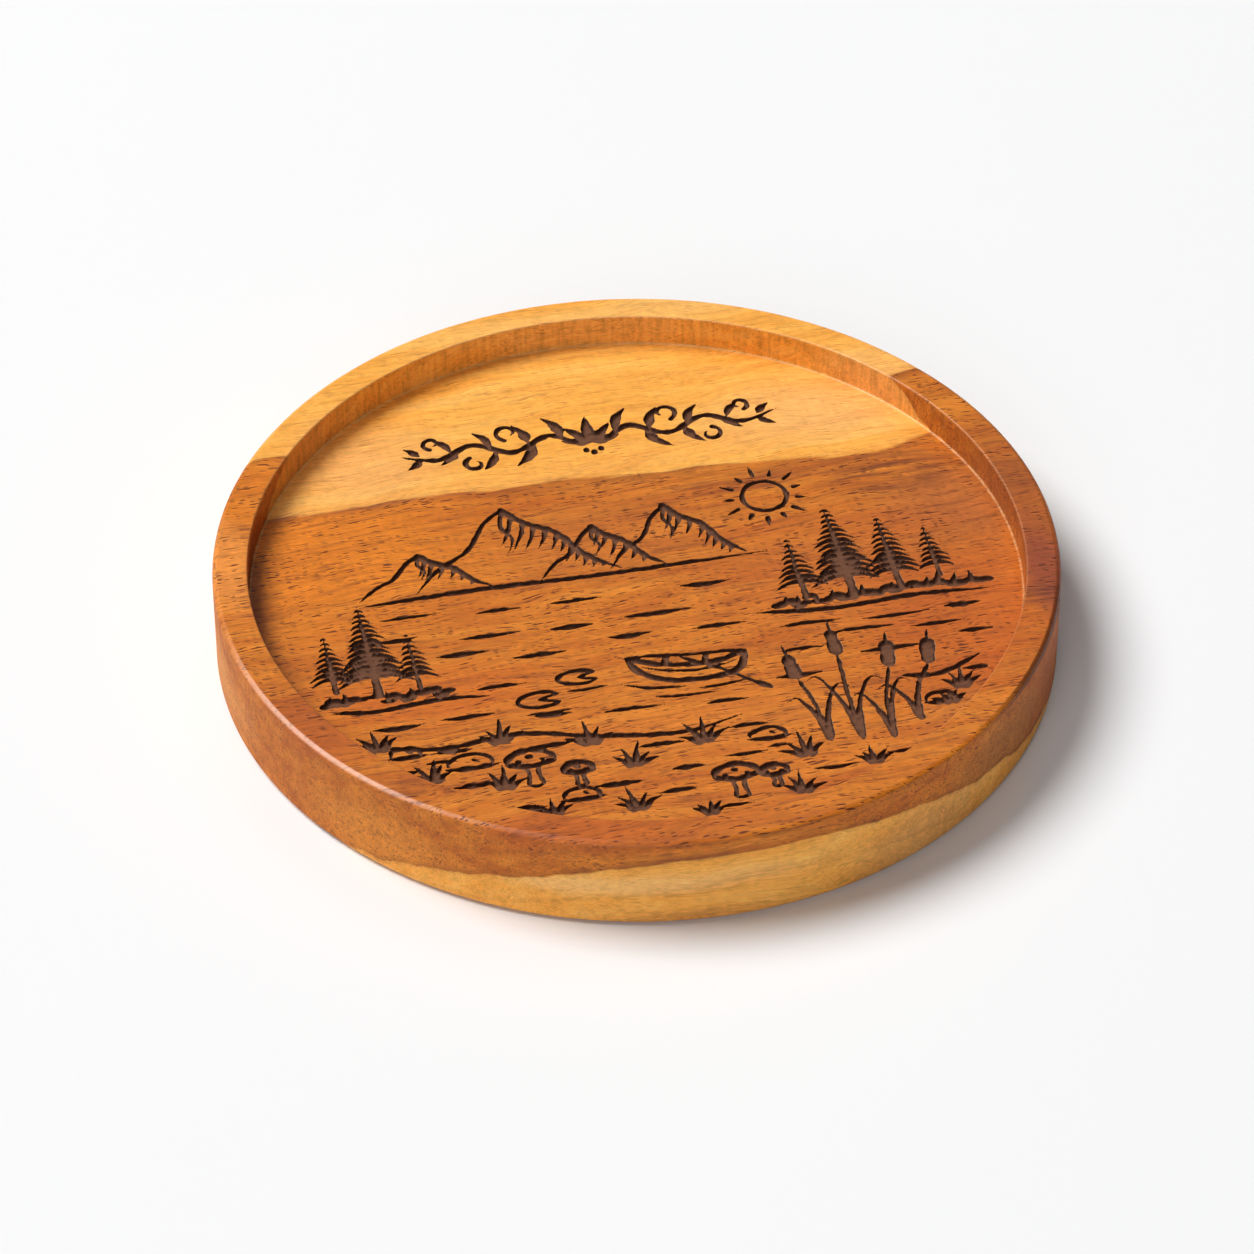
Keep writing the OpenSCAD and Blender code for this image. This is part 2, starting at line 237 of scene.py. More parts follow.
def boardProfile(angle):
    # the outer edge was eased by hand, so its facet and its round drift a little round the rim
    drift = sum(size * math.sin(count * angle + start) for size, count, start in board["easeWaves"])
    waver = 1 + board["easeWaver"] * drift
    facetWide, facetDrop = (waver * v for v in board["edgeFacet"])
    roundWide, roundDrop = (waver * v for v in board["edgeRound"])
    foot, inner, hold, fillet = (board[k] for k in ("footEase", "innerBreak", "hold", "wallFillet"))
    facetFoot, roundFoot = rimZ - facetDrop, rimZ - facetDrop - roundDrop
    corner = (discRadius, facetFoot - roundWide * facetDrop / facetWide)
    flatEnd = discRadius - facetWide - roundWide
    points = [(0, underZ), (discRadius - foot - hold, underZ)]
    points += arcPoints((discRadius - foot, underZ + foot), foot, -90, 0, 6)
    points += [(discRadius, underZ + foot + hold), (discRadius, roundFoot - hold)]
    points += bendPoints((discRadius, roundFoot), corner, (discRadius - roundWide, facetFoot), 7)
    points += [(flatEnd, rimZ), (flatEnd - hold, rimZ), (recessRadius + inner + hold, rimZ)]
    points += arcPoints((recessRadius + inner, rimZ - inner), inner, 90, 180, 3)
    points += [(recessRadius, rimZ - inner - hold), (recessRadius, floorZ + fillet + hold)]
    points += arcPoints((recessRadius - fillet, floorZ + fillet), fillet, 0, -90, 4)
    points += [(recessRadius - fillet - hold, floorZ), (0, floorZ)]
    return points


# The non-slip pads: moulded rubber dots, glued into drilled pockets
pads = {
    "nodes": ["pad_front_left", "pad_front_right", "pad_back_left", "pad_back_right"],
    "edge": 0.2,
    "topEdge": 0.08,
    "crown": 0.04,  # how much the middle of the lower face is drawn in
    "crownShares": (0.3, 0.6, 0.8, 0.9),  # of the radius, where the lower face curves
    "gap": 0.1,
    "drillEase": 0.15,
    "drillStart": 1,  # below the board
    "turns": 96,
}


def padShape(node):
    low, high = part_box(node)
    middle = (low + high) / 2 / mm
    return middle, (high.x - low.x) / 2 / mm, low.z / mm, high.z / mm


def turnedPad(name, middle, points):
    # a solid of revolution in the place of a pad
    vertices, faces = latheMesh(lambda angle: points, pads["turns"])
    return newPiece(name, np.array(vertices) + [middle.x, middle.y, 0], faces)


def drillPocket(piece, node):
    middle, radius, _, top = padShape(node)
    wall, ease, start = radius + pads["gap"], pads["drillEase"], pads["drillStart"]
    points = [(0, underZ - start), (wall + ease + start, underZ - start), (wall + ease, underZ)]
    points += [(wall, underZ + ease), (wall, top), (0, top)]
    drill = turnedPad("drill", middle, points)
    carve(piece, drill, "DIFFERENCE")
    bpy.data.objects.remove(drill)


# The engraving of the cup floor: cut with a fine bit, which leaves flat-bottomed scorched grooves
engraving = {
    "heading": 12,  # of the picture's level line
    "cell": 0.165,  # spacing of the height grid
    "spacing": 0.12,  # of the samples along a groove
    "depth": 0.6,
    "wall": 1.7,  # how steeply the groove falls off from its edge
    "waver": (0.06, 8),  # how far the bit strays from its line, and over how many samples
    "swell": (0.2, 5),  # share by which a groove's width varies, and over how many samples
    "taperPower": 0.7,
    "leastHalf": 0.04,  # of a groove's width
    "fray": 0.09,  # how much the fibres break out along a groove's edge
    "frayGrain": [(1, 1.6, 0.32), (0.6, 0.5, 0.3)],  # strength, length and thickness of the fibres
    "margin": 2.6,  # the picture stays this far from the wall
    "cap": 1.0,  # height of the cutting solid above the floor
    "clear": 0.02,  # height of its underside beside a groove
    "seed": 11,
}
rng = np.random.default_rng(engraving["seed"])
strokes = []


def smoothLine(points, spacing):
    # a smooth line through a few points, with samples at an even spacing
    p = np.asarray(points, float)
    p = np.vstack([2 * p[0] - p[1], p, 2 * p[-1] - p[-2]])
    out = []
    for a, b, c, d in zip(p, p[1:], p[2:], p[3:]):
        steps = max(2, int(np.hypot(*(c - b)) / spacing))
        t = np.linspace(0, 1, steps, endpoint=False)[:, None]
        out.append(0.5 * (2 * b + (c - a) * t + (2 * a - 5 * b + 4 * c - d) * t ** 2
                          + (3 * b - a - 3 * c + d) * t ** 3))
    return np.vstack(out + [p[-2][None]])


def softNoise(length, step):
    # random numbers from -1 to 1 that change smoothly, one for each sample of a line
    knots = rng.uniform(-1, 1, int(length / step) + 4)
    return np.interp(np.arange(length) / step, np.arange(len(knots)), knots)


def cut(points, width, taper=(0.25, 0.35)):
    # one groove; its points are shares of the recess radius, its full width is in millimetres,
    # and taper gives the shares of its length that run out to nothing
    line = smoothLine(np.asarray(points, float) * recessRadius, engraving["spacing"])
    n = len(line)
    share = np.linspace(0, 1, n)
    half = np.full(n, width / 2)
    for end, far in zip(taper, (share, 1 - share)):
        if end:
            half *= np.minimum(1, far / end) ** engraving["taperPower"]
    (swell, swellStep), (waver, waverStep) = engraving["swell"], engraving["waver"]
    half *= 1 + swell * softNoise(n, swellStep)
    along = np.gradient(line, axis=0)
    along /= np.maximum(np.hypot(along[:, 0], along[:, 1]), 1e-9)[:, None]
    side = np.stack([-along[:, 1], along[:, 0]], axis=1)
    line = line + side * (waver * softNoise(n, waverStep))[:, None]
    strokes.append((line, np.maximum(half, engraving["leastHalf"])))


def placed(points, u, v, size=1.0, turn=0.0):
    # points of a motif, turned by degrees, sized, and moved to their place in the picture
    a = math.radians(turn)
    c, d = size * math.cos(a), size * math.sin(a)
    return [(u + x * c - y * d, v + x * d + y * c) for x, y in points]


def arc(u, v, across, up, start, end, count=12):
    turn = np.radians(np.linspace(start, end, count))
    return np.stack([u + across * np.cos(turn), v + up * np.sin(turn)], axis=1)


def leaf(u, v, angle, length, width, bend=0.1):
    # a pointed leaf, widest a third of the way along
    cut(placed([(0, 0), (0.5, bend / 2), (1, 0)], u, v, length, angle), width, (0.35, 0.65))


# Height on the cup floor of the line where the two woods meet, as a share of the recess radius
jointUp = math.sqrt(board["ringRadius"] ** 2 - (axisHeight - floorZ) ** 2) - board["ringShift"]
jointUp /= recessRadius

# A scroll of leaves on the light wood; places and lengths are shares of the recess radius
scroll = {
    "rise": 7.7,  # of its middle line above the line where the woods meet
    "stem": [(0.035, -0.03), (0.11, 0.02), (0.21, -0.03), (0.315, 0.02), (0.415, -0.022), (0.515, 0.012)],
    "leaves": [(0.07, 0.01, 62, 0.1), (0.15, -0.01, -52, 0.1), (0.165, 0.0, 68, 0.09),
               (0.255, -0.015, -58, 0.085), (0.265, 0.005, 58, 0.08), (0.36, 0.01, -48, 0.075),
               (0.375, 0.005, 55, 0.07), (0.455, -0.01, -40, 0.06), (0.46, 0.0, 46, 0.055)],
    "curls": [(0.215, 0.055, 0.033), (0.32, -0.057, 0.029), (0.42, 0.048, 0.025)],
    "crown": [(90, 0.11), (50, 0.095), (130, 0.095), (14, 0.08), (166, 0.08)],  # heading and length
    "crownDrop": 0.03,  # of its foot below the middle line
    "seeds": [(-0.02, -0.062), (0, -0.074), (0.02, -0.062)],
    "stemWidth": 0.95,
    "curlWidth": 0.684,
    "leafWidth": 1.5,
    "crownWidth": 1.7,
    "seedWidth": 0.75,
}


def drawScroll(look):
    v0 = jointUp + look["rise"] / recessRadius
    for side in (-1, 1):
        cut([(side * u, v0 + v) for u, v in look["stem"]], look["stemWidth"], (0.06, 0.2))
        for u, v, angle, length in look["leaves"]:
            turned = angle if side > 0 else 180 - angle
            width = look["leafWidth"] * (length * 10) ** 0.5
            leaf(side * u, v0 + v, turned, length, width, 0.2 * side * np.sign(angle))
        for u, v, radius in look["curls"]:
            # winds in through most of a turn
            share = np.linspace(0, 1, 12)
            turn = np.radians((-70 + 330 * share) * np.sign(v))
            reach = radius * (1 - 0.6 * share)
            cut(np.stack([side * (u + reach * np.cos(turn)), v0 + v + reach * np.sin(turn)], axis=1),
                look["curlWidth"], (0, 0.3))
    for angle, length in look["crown"]:
        leaf(0, v0 - look["crownDrop"], angle, length, look["crownWidth"], 0)
    for u, v in look["seeds"]:
        cut([(u, v0 + v), (u, v0 + v + 0.004)], look["seedWidth"], (0, 0))


# A mountain lake on the dark wood, laid out in the same shares: most entries are a place, a size and
# a lean. The heights of the peaks, and the height and size of the sun, are shares of the sky between
# the far shore and the light wood.
lake = {
    "farShore": 0.05,
    "peaks": [(-0.535, 0.42, 0.185), (-0.29, 0.77, 0.28), (-0.07, 0.48, 0.17), (0.13, 0.6, 0.19)],
    "leftSlope": [(-1, 0.03), (-0.72, 0.33), (-0.42, 0.52), (-0.2, 0.84), (0, 1)],
    "rightSlope": [(0, 1), (0.17, 0.8), (0.45, 0.6), (0.66, 0.27), (0.95, 0.03)],
    "spur": [(0, -0.04), (-0.05, -0.22), (0.03, -0.4), (-0.07, -0.62)],  # down from the peak
    "sun": (0.4, 0.56, 0.15),
    "rays": 13,
    "firs": [(0.415, -0.14, 0.23), (0.54, -0.155, 0.35), (0.665, -0.145, 0.275), (0.775, -0.13, 0.195),
             (-0.725, -0.295, 0.34), (-0.83, -0.27, 0.22), (-0.62, -0.29, 0.21)],
    "banks": [(0.34, 0.89, -0.165, 0.035), (-0.86, -0.55, -0.315, 0.03)],  # from, to, level, height
    "shores": [[(-0.72, 0.042), (-0.39, 0.052), (-0.09, 0.046), (0.36, 0.052)],
               [(0.27, -0.185), (0.48, -0.205), (0.7, -0.195), (0.9, -0.21)],
               [(-0.86, -0.345), (-0.74, -0.36), (-0.57, -0.347), (-0.445, -0.36)],
               [(-0.79, -0.49), (-0.61, -0.53), (-0.41, -0.515), (-0.2, -0.565), (0.0, -0.59),
                (0.17, -0.55)],
               [(0.58, -0.495), (0.68, -0.505), (0.8, -0.45)]],
    "ripples": [(0.4, -0.25, 0.16), (0.63, -0.26, 0.2), (0.8, -0.255, 0.1), (0.53, -0.3, 0.18),
                (0.72, -0.315, 0.14), (0.36, -0.345, 0.12), (-0.41, -0.13, 0.17), (-0.2, -0.14, 0.12),
                (0.03, -0.13, 0.19), (-0.49, -0.19, 0.14), (-0.6, -0.02, 0.16), (-0.37, -0.04, 0.13),
                (-0.17, -0.04, 0.15), (0.17, -0.04, 0.14), (-0.65, -0.1, 0.12), (-0.3, -0.23, 0.15),
                (0.17, -0.21, 0.14), (-0.06, -0.2, 0.12), (-0.52, -0.425, 0.15), (-0.7, -0.43, 0.13),
                (0.81, -0.36, 0.1), (0.58, -0.385, 0.17), (-0.11, -0.48, 0.16), (-0.42, -0.33, 0.13),
                (0.33, -0.44, 0.13), (-0.31, -0.46, 0.1), (0.13, -0.5, 0.12)],
    "lilies": [(-0.22, -0.335, 0.055), (-0.33, -0.4, 0.06)],
    "boats": [(0.06, -0.34, 0.155, -3)],
    "cattails": [(0.35, -0.7, 0.25, -0.03), (0.43, -0.71, 0.33, 0.01), (0.51, -0.72, 0.27, 0.05),
                 (0.59, -0.67, 0.21, 0.07)],
    "stones": [(-0.7, -0.535, 0.04), (-0.55, -0.6, 0.055), (0.2, -0.645, 0.045), (-0.3, -0.77, 0.045),
               (0.66, -0.6, 0.04)],
    "mushrooms": [(-0.4, -0.63, 0.065), (-0.29, -0.68, 0.042), (0.09, -0.78, 0.06),
                  (0.185, -0.785, 0.038)],
    "tufts": [(-0.76, -0.51, 0.085, -0.2), (-0.46, -0.54, 0.085, 0.2), (-0.65, -0.65, 0.085, 0.1),
              (-0.24, -0.59, 0.09, -0.2), (-0.48, -0.71, 0.085, 0.2), (-0.15, -0.69, 0.085, 0.3),
              (0.04, -0.64, 0.095, 0.0), (-0.38, -0.83, 0.075, 0.0), (-0.17, -0.85, 0.085, -0.2),
              (0.0, -0.9, 0.06, 0.0), (0.28, -0.74, 0.09, -0.2), (0.24, -0.87, 0.075, 0.2),
              (0.44, -0.8, 0.07, 0.1), (0.72, -0.57, 0.08, 0.2), (0.68, -0.62, 0.06, 0.1)],
    "ground": [(-0.58, -0.545, 0.1), (-0.34, -0.57, 0.12), (-0.07, -0.625, 0.13), (0.16, -0.6, 0.1),
               (-0.72, -0.6, 0.1), (-0.55, -0.68, 0.12), (-0.2, -0.745, 0.13), (0.13, -0.7, 0.11),
               (0.34, -0.79, 0.12), (-0.45, -0.79, 0.12), (-0.06, -0.8, 0.1), (0.06, -0.88, 0.1),
               (-0.27, -0.88, 0.1), (0.52, -0.77, 0.1), (0.36, -0.86, 0.08), (0.78, -0.5, 0.09),
               (-0.62, -0.58, 0.08), (-0.1, -0.92, 0.08), (-0.02, -0.72, 0.09), (0.22, -0.69, 0.07)],
}


def mountain(peakU, height, half, foot):
    left, right, spur = ([(peakU + half * x, level + height * y) for x, y in lake[name]] for name, level
                         in (("leftSlope", foot), ("rightSlope", foot), ("spur", foot + height)))
    cut(left, 0.66, (0.3, 0))
    cut(right, 0.95, (0, 0.25))
    # the shaded side, hatched down from the ridge
    for point in smoothLine(right, 0.026)[1:-2]:
        size = (0.34 + 0.3 * rng.random()) * (point[1] - foot)
        bend, end = point + [-0.16 * size, -0.5 * size], point + [-0.42 * size, -size]
        cut([point, bend, end], 0.66, (0.05, 0.7))
    cut(spur, 0.58, (0.05, 0.6))


def fir(u, v, height):
    cut([(u, v), (u, v + 0.5 * height), (u, v + height)], 0.075 * height * recessRadius, (0, 0.9))
    rows = int(height * 42)
    for k in range(rows):
        share = k / rows
        level = v + height * (0.96 - 0.8 * share)
        reach = 0.32 * height * (0.12 + 0.88 * share) * rng.uniform(0.88, 1.12)
        for side in (-1, 1):
            size = reach * rng.uniform(0.85, 1.1)
            drop = 0.34 * size + 0.006
            bend, end = (u + side * 0.5 * size, level - 0.22 * drop), (u + side * size, level - drop)
            cut([(u, level), bend, end], (0.5 + 2.3 * height) * (0.4 + 0.6 * share), (0, 0.85))


def sunMark(u, v, radius, rays):
    cut(arc(u, v, radius, radius, 0, 360, 25), 0.7, (0, 0))
    for k in range(rays):
        turn = 2 * math.pi * (k + 0.5) / rays
        ahead = np.array([math.cos(turn), math.sin(turn)]) * radius
        cut([[u, v] + 1.4 * ahead, [u, v] + (2.15 if k % 2 else 1.85) * ahead], 0.66, (0.1, 0.7))


def brush(startU, endU, v, height):
    # low bushes along a bank, as short overlapping grooves
    for u in np.arange(startU, endU, 0.017):
        level = v + rng.uniform(-0.011, 0.011)
        bump = (u, level + rng.uniform(-0.004, 0.011))
        cut([(u - 0.022, level), bump, (u + 0.022, level)], rng.uniform(0.7, 1.3), (0.3, 0.3))
        if rng.random() < 0.55:
            tip = (u + rng.uniform(-0.011, 0.015), level + height * rng.uniform(0.6, 1.2))
            cut([(u, level), tip], 0.7, (0.05, 0.6))


def ripple(u, v, length):
    bend = rng.uniform(-0.006, 0.006) / length
    cut(placed([(-0.5, 0), (-0.1, bend), (0.5, 0)], u, v, length), rng.uniform(0.6, 1.0), (0.35, 0.45))


def cutShapes(shapes, *place):
    # the strokes of a motif, each with its points, width and taper
    for points, width, taper in shapes:
        cut(placed(points, *place), width, taper)


def lilyPad(u, v, size):
    # a floating leaf seen at a slant, with its notch, and a ripple beside it
    edge, notch = arc(u, v, size, 0.46 * size, 35, 325, 15), (u - 0.15 * size, v)
    cut(edge, 0.7, (0.12, 0.12))
    cut([edge[0], notch], 0.5, (0.1, 0.3))
    cut([notch, edge[-1]], 0.5, (0.3, 0.1))
    cut(placed([(-0.8, -0.85), (0.3, -0.9), (1.3, -0.76)], u, v, size), 0.55)


def boat(*place):
    # the gunwales and hull, the waterline, two thwarts, the oar, and ripples below
    cutShapes([([(-1, 0.3), (-0.5, 0.06), (0.1, -0.02), (0.62, 0.04), (1, 0.22)], 0.95, (0.1, 0.1)),
               ([(-1, 0.3), (-0.8, -0.1), (-0.35, -0.36), (0.4, -0.38), (0.84, -0.2), (1, 0.22)],
                1.0, (0.1, 0.05)),
               ([(-1, 0.3), (-0.45, 0.27), (0.3, 0.22), (1, 0.22)], 0.6, (0.2, 0.1)),
               ([(-0.82, 0.04), (-0.3, -0.13), (0.3, -0.16), (0.88, 0.0)], 0.5, (0.3, 0.3)),
               ([(-0.38, 0.04), (-0.3, 0.25)], 0.8, (0, 0)), ([(0.28, -0.02), (0.34, 0.22)], 0.8, (0, 0)),
               ([(-0.12, 0.2), (0.5, -0.18), (1.05, -0.62)], 0.6, (0.1, 0)),
               ([(1.02, -0.58), (1.28, -0.8)], 1.15, (0.3, 0.3)),
               ([(-1.15, -0.36), (-0.7, -0.5), (0, -0.55)], 0.6, (0.3, 0.4)),
               ([(0.1, -0.62), (0.55, -0.58), (0.95, -0.5)], 0.6, (0.3, 0.4)),
               ([(-0.7, -0.72), (-0.2, -0.76), (0.4, -0.74)], 0.55, (0.3, 0.4))], *place)


def cattail(u, v, height, lean):
    # a thin stem with a thick brown head and its tip, and two long blades
    top, tip = (u + lean, v + height), (u + 1.25 * lean, v + height + 0.09)
    cut([(u, v), (u + 0.25 * lean, v + 0.55 * height), top], 0.55, (0.05, 0.1))
    cut([top, tip], 1.75, (0.16, 0.16))
    cut([tip, (u + 1.4 * lean, v + height + 0.13)], 0.45, (0, 0.5))
    for side in (-1, 1):
        bend = side * rng.uniform(0.045, 0.07)
        tall = height * rng.uniform(0.7, 0.95)
        blade = [(0, 0), (0.3 * bend, 0.5 * tall), (bend, 0.88 * tall), (1.7 * bend, 0.8 * tall)]
        cut(placed(blade, u, v), 0.85, (0.06, 0.7))


def stone(u, v, size):
    outline = arc(u, v, size, 0.62 * size, -15, 195, 9) + rng.uniform(-0.05, 0.05, (9, 2)) * size
    cut(outline, 0.7, (0.1, 0.2))
    cutShapes([([(-1.25, -0.2), (0, -0.3), (1.4, -0.2)], 0.9, (0.3, 0.3)),
               ([(0.1, 0.32), (0.5, 0.05)], 0.5, (0.3, 0.5))], u, v, size)


def mushroom(u, v, size):
    # its cap with three spots, its stem, and the foot of the stem
    cut(arc(u, v, size, 0.8 * size, 10, 170, 9), 0.95, (0.12, 0.12))
    cutShapes([([(-1, 0.1), (0, -0.12), (1, 0.1)], 0.9, (0.1, 0.1)),
               ([(-0.5, 0.2), (-0.42, 0.2)], 0.5, (0, 0)), ([(-0.05, 0.42), (0.03, 0.42)], 0.75, (0, 0)),
               ([(0.42, 0.2), (0.5, 0.2)], 0.4, (0, 0)),
               ([(-0.26, -0.1), (-0.2, -0.65), (-0.3, -1.2)], 0.62, (0.1, 0.1)),
               ([(0.26, -0.1), (0.2, -0.65), (0.3, -1.2)], 0.62, (0.1, 0.1)),
               ([(-0.3, -1.17), (0, -1.27), (0.3, -1.17)], 0.55, (0.1, 0.1))], u, v, size)


def tuft(u, v, size, lean, blades=5):
    # a tuft of grass: blades that fan out of one foot
    for k in range(blades):
        spread = 2 * k / (blades - 1) - 1
        angle = math.radians(90 - 44 * spread - 30 * lean + rng.uniform(-7, 7))
        length = size * (1 - 0.28 * abs(spread)) * rng.uniform(0.85, 1.15)
        ahead = np.array([math.cos(angle), math.sin(angle)])
        foot = np.array([u + 0.12 * size * spread, v])
        tip = foot + ahead * length + [0.16 * length * spread, -0.12 * length * abs(spread)]
        cut([foot, foot + 0.55 * length * ahead, tip], 0.62 + 4 * size, (0.08, 0.75))


def groundStroke(u, v, length):
    bend = rng.uniform(-0.005, 0.005) / length
    cut(placed([(-0.5, 0), (0, bend), (0.5, 0)], u, v, length), rng.uniform(0.6, 0.95), (0.4, 0.4))


def drawLake(look):
    shore = look["farShore"]
    sky = jointUp - shore
    for peakU, height, half in look["peaks"]:
        mountain(peakU, height * sky, half, shore)
    for line in look["shores"]:
        cut(line, 0.85, (0.12, 0.25))
    sunU, sunUp, sunSize = look["sun"]
    sunMark(sunU, shore + sunUp * sky, sunSize * sky, look["rays"])
    motifs = {"firs": fir, "banks": brush, "ripples": ripple, "lilies": lilyPad, "boats": boat,
              "cattails": cattail, "stones": stone, "mushrooms": mushroom, "tufts": tuft,
              "ground": groundStroke}
    for name, draw in motifs.items():
        for place in look[name]:
            draw(*place)


def latticeNoise(u, v, stepU, stepV):
    # smooth noise from -1 to 1 on a grid of points, with a grain of stepU by stepV
    a, b = (u - u.min()) / stepU, (v - v.min()) / stepV
    knots = rng.uniform(-1, 1, (int(a.max()) + 2, int(b.max()) + 2))
    i, j = a.astype(int), b.astype(int)
    s, t = a - i, b - j
    s, t = s * s * (3 - 2 * s), t * t * (3 - 2 * t)
    return ((knots[i, j] * (1 - s) + knots[i + 1, j] * s) * (1 - t)
            + (knots[i, j + 1] * (1 - s) + knots[i + 1, j + 1] * s) * t)


def grooveField(look):
    # height of the cut surface over the cup floor, below zero inside a groove
    reach, depth = recessRadius - look["margin"], look["depth"]
    count = int(2 * recessRadius / look["cell"])
    line = (np.arange(count + 1) - count / 2) * look["cell"]
    u, v = np.meshgrid(line, line, indexing="ij")
    field = np.full(u.shape, look["cap"])
    for points, half in strokes:
        for (pu, pv), w in zip(points, half):
            if math.hypot(pu, pv) > reach:
                continue
            span = w * 1.5 + 2 * look["cell"]
            rows = slice(*np.searchsorted(line, (pu - span, pu + span)))
            columns = slice(*np.searchsorted(line, (pv - span, pv + span)))
            far = (u[rows, columns] - pu) ** 2 + (v[rows, columns] - pv) ** 2
            fall = look["wall"] * depth * (far / w ** 2 - 1)
            field[rows, columns] = np.minimum(field[rows, columns], np.maximum(fall, -depth))
    # fibres tear along the grain, so the edges and the bottom are rough in that direction
    turn = math.radians(board["grainHeading"] - look["heading"])
    along, across = u * math.cos(turn) + v * math.sin(turn), v * math.cos(turn) - u * math.sin(turn)
    rough = sum(size * latticeNoise(along, across, *grain) for size, *grain in look["frayGrain"])
    return u, v, np.minimum(field + look["fray"] * rough, look["cap"] / 2)


def fillCorners(keep):
    # cells that touch only at a corner would leave an edge with four faces
    while True:
        a, b, c, d = keep[:-1, :-1], keep[1:, 1:], keep[1:, :-1], keep[:-1, 1:]
        rising, falling = a & b & ~c & ~d, c & d & ~a & ~b
        if not (rising.any() or falling.any()):
            return keep
        keep[1:, :-1] |= rising
        keep[:-1, 1:] |= rising
        keep[:-1, :-1] |= falling
        keep[1:, 1:] |= falling


def engravingTool(look):
    # a closed solid whose underside is the cut surface, kept only where there are grooves
    u, v, field = grooveField(look)
    field = np.where(field >= 0, np.maximum(field, look["clear"]), field)
    inside = field < 0
    keep = fillCorners(inside[:-1, :-1] | inside[1:, :-1] | inside[:-1, 1:] | inside[1:, 1:])
    used = np.zeros(field.shape, bool)
    for rows in (slice(None, -1), slice(1, None)):
        for columns in (slice(None, -1), slice(1, None)):
            used[rows, columns] |= keep
    number = np.full(field.shape, -1)
    count = int(used.sum())
    number[used] = np.arange(count)
    turn = math.radians(look["heading"])
    x = u[used] * math.cos(turn) - v[used] * math.sin(turn)
    y = u[used] * math.sin(turn) + v[used] * math.cos(turn)
    low = np.stack([x, y, floorZ + field[used]], axis=1)
    high = np.stack([x, y, np.full(count, floorZ + look["cap"])], axis=1)
    i, j = np.nonzero(keep)
    corners = np.stack([number[i, j], number[i, j + 1], number[i + 1, j + 1], number[i + 1, j]], axis=1)
    faces = [corners, corners[:, ::-1] + count]
    ring = np.pad(keep, 1)
    for shifted, a, b in [(ring[1:-1, :-2], (0, 0), (1, 0)), (ring[2:, 1:-1], (1, 0), (1, 1)),
                          (ring[1:-1, 2:], (1, 1), (0, 1)), (ring[:-2, 1:-1], (0, 1), (0, 0))]:
        i, j = np.nonzero(keep & ~shifted)
        p, q = number[i + a[0], j + a[1]], number[i + b[0], j + b[1]]
        faces.append(np.stack([p, q, q + count, p + count], axis=1))
    print("engraving grid", int(keep.sum()), "cells")
    return newPiece("engravingTool", np.vstack([low, high]), np.vstack(faces).tolist())


def ringCylinder():
    # everything inside the growth ring where the two woods meet
    sides, radius, reach = board["ringSides"], board["ringRadius"], 2.2 * discRadius
    a = (np.arange(sides) + 0.5) * 2 * math.pi / sides
    ends = [np.stack([np.full(sides, s * reach), radius * np.cos(a), radius * np.sin(a)], axis=1)
            for s in (-1, 1)]
    points = np.vstack(ends) @ np.array(grainTurn).T + np.array(ringCentre)
    faces = [(k, (k + 1) % sides, sides + (k + 1) % sides, sides + k) for k in range(sides)]
    faces += [tuple(range(sides - 1, -1, -1)), tuple(range(sides, 2 * sides))]
    return newPiece("ringCylinder", points, faces)


def looseParts(piece):
    # splits a piece into its separate solids, from back to front
    bpy.context.view_layer.objects.active = piece
    for other in bpy.context.selected_objects:
        other.select_set(False)
    piece.select_set(True)
    before = set(bpy.data.objects)
    bpy.ops.mesh.separate(type="LOOSE")
    parts = [piece] + [o for o in bpy.data.objects if o not in before]
    middles = {o.name: float(np.mean([v.co.y for v in o.data.vertices])) for o in parts}
    return sorted(parts, key=lambda o: -middles[o.name])


def finishMesh(piece, name, nodes, material, angle=32):
    piece.name = piece.data.name = name
    piece.data.polygons.foreach_set("use_smooth", np.ones(len(piece.data.polygons), bool))
    piece.data.set_sharp_from_angle(angle=math.radians(angle))
    piece.data.materials.clear()
    piece.data.materials.append(material)
    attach(piece, "root")
    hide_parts(*nodes)


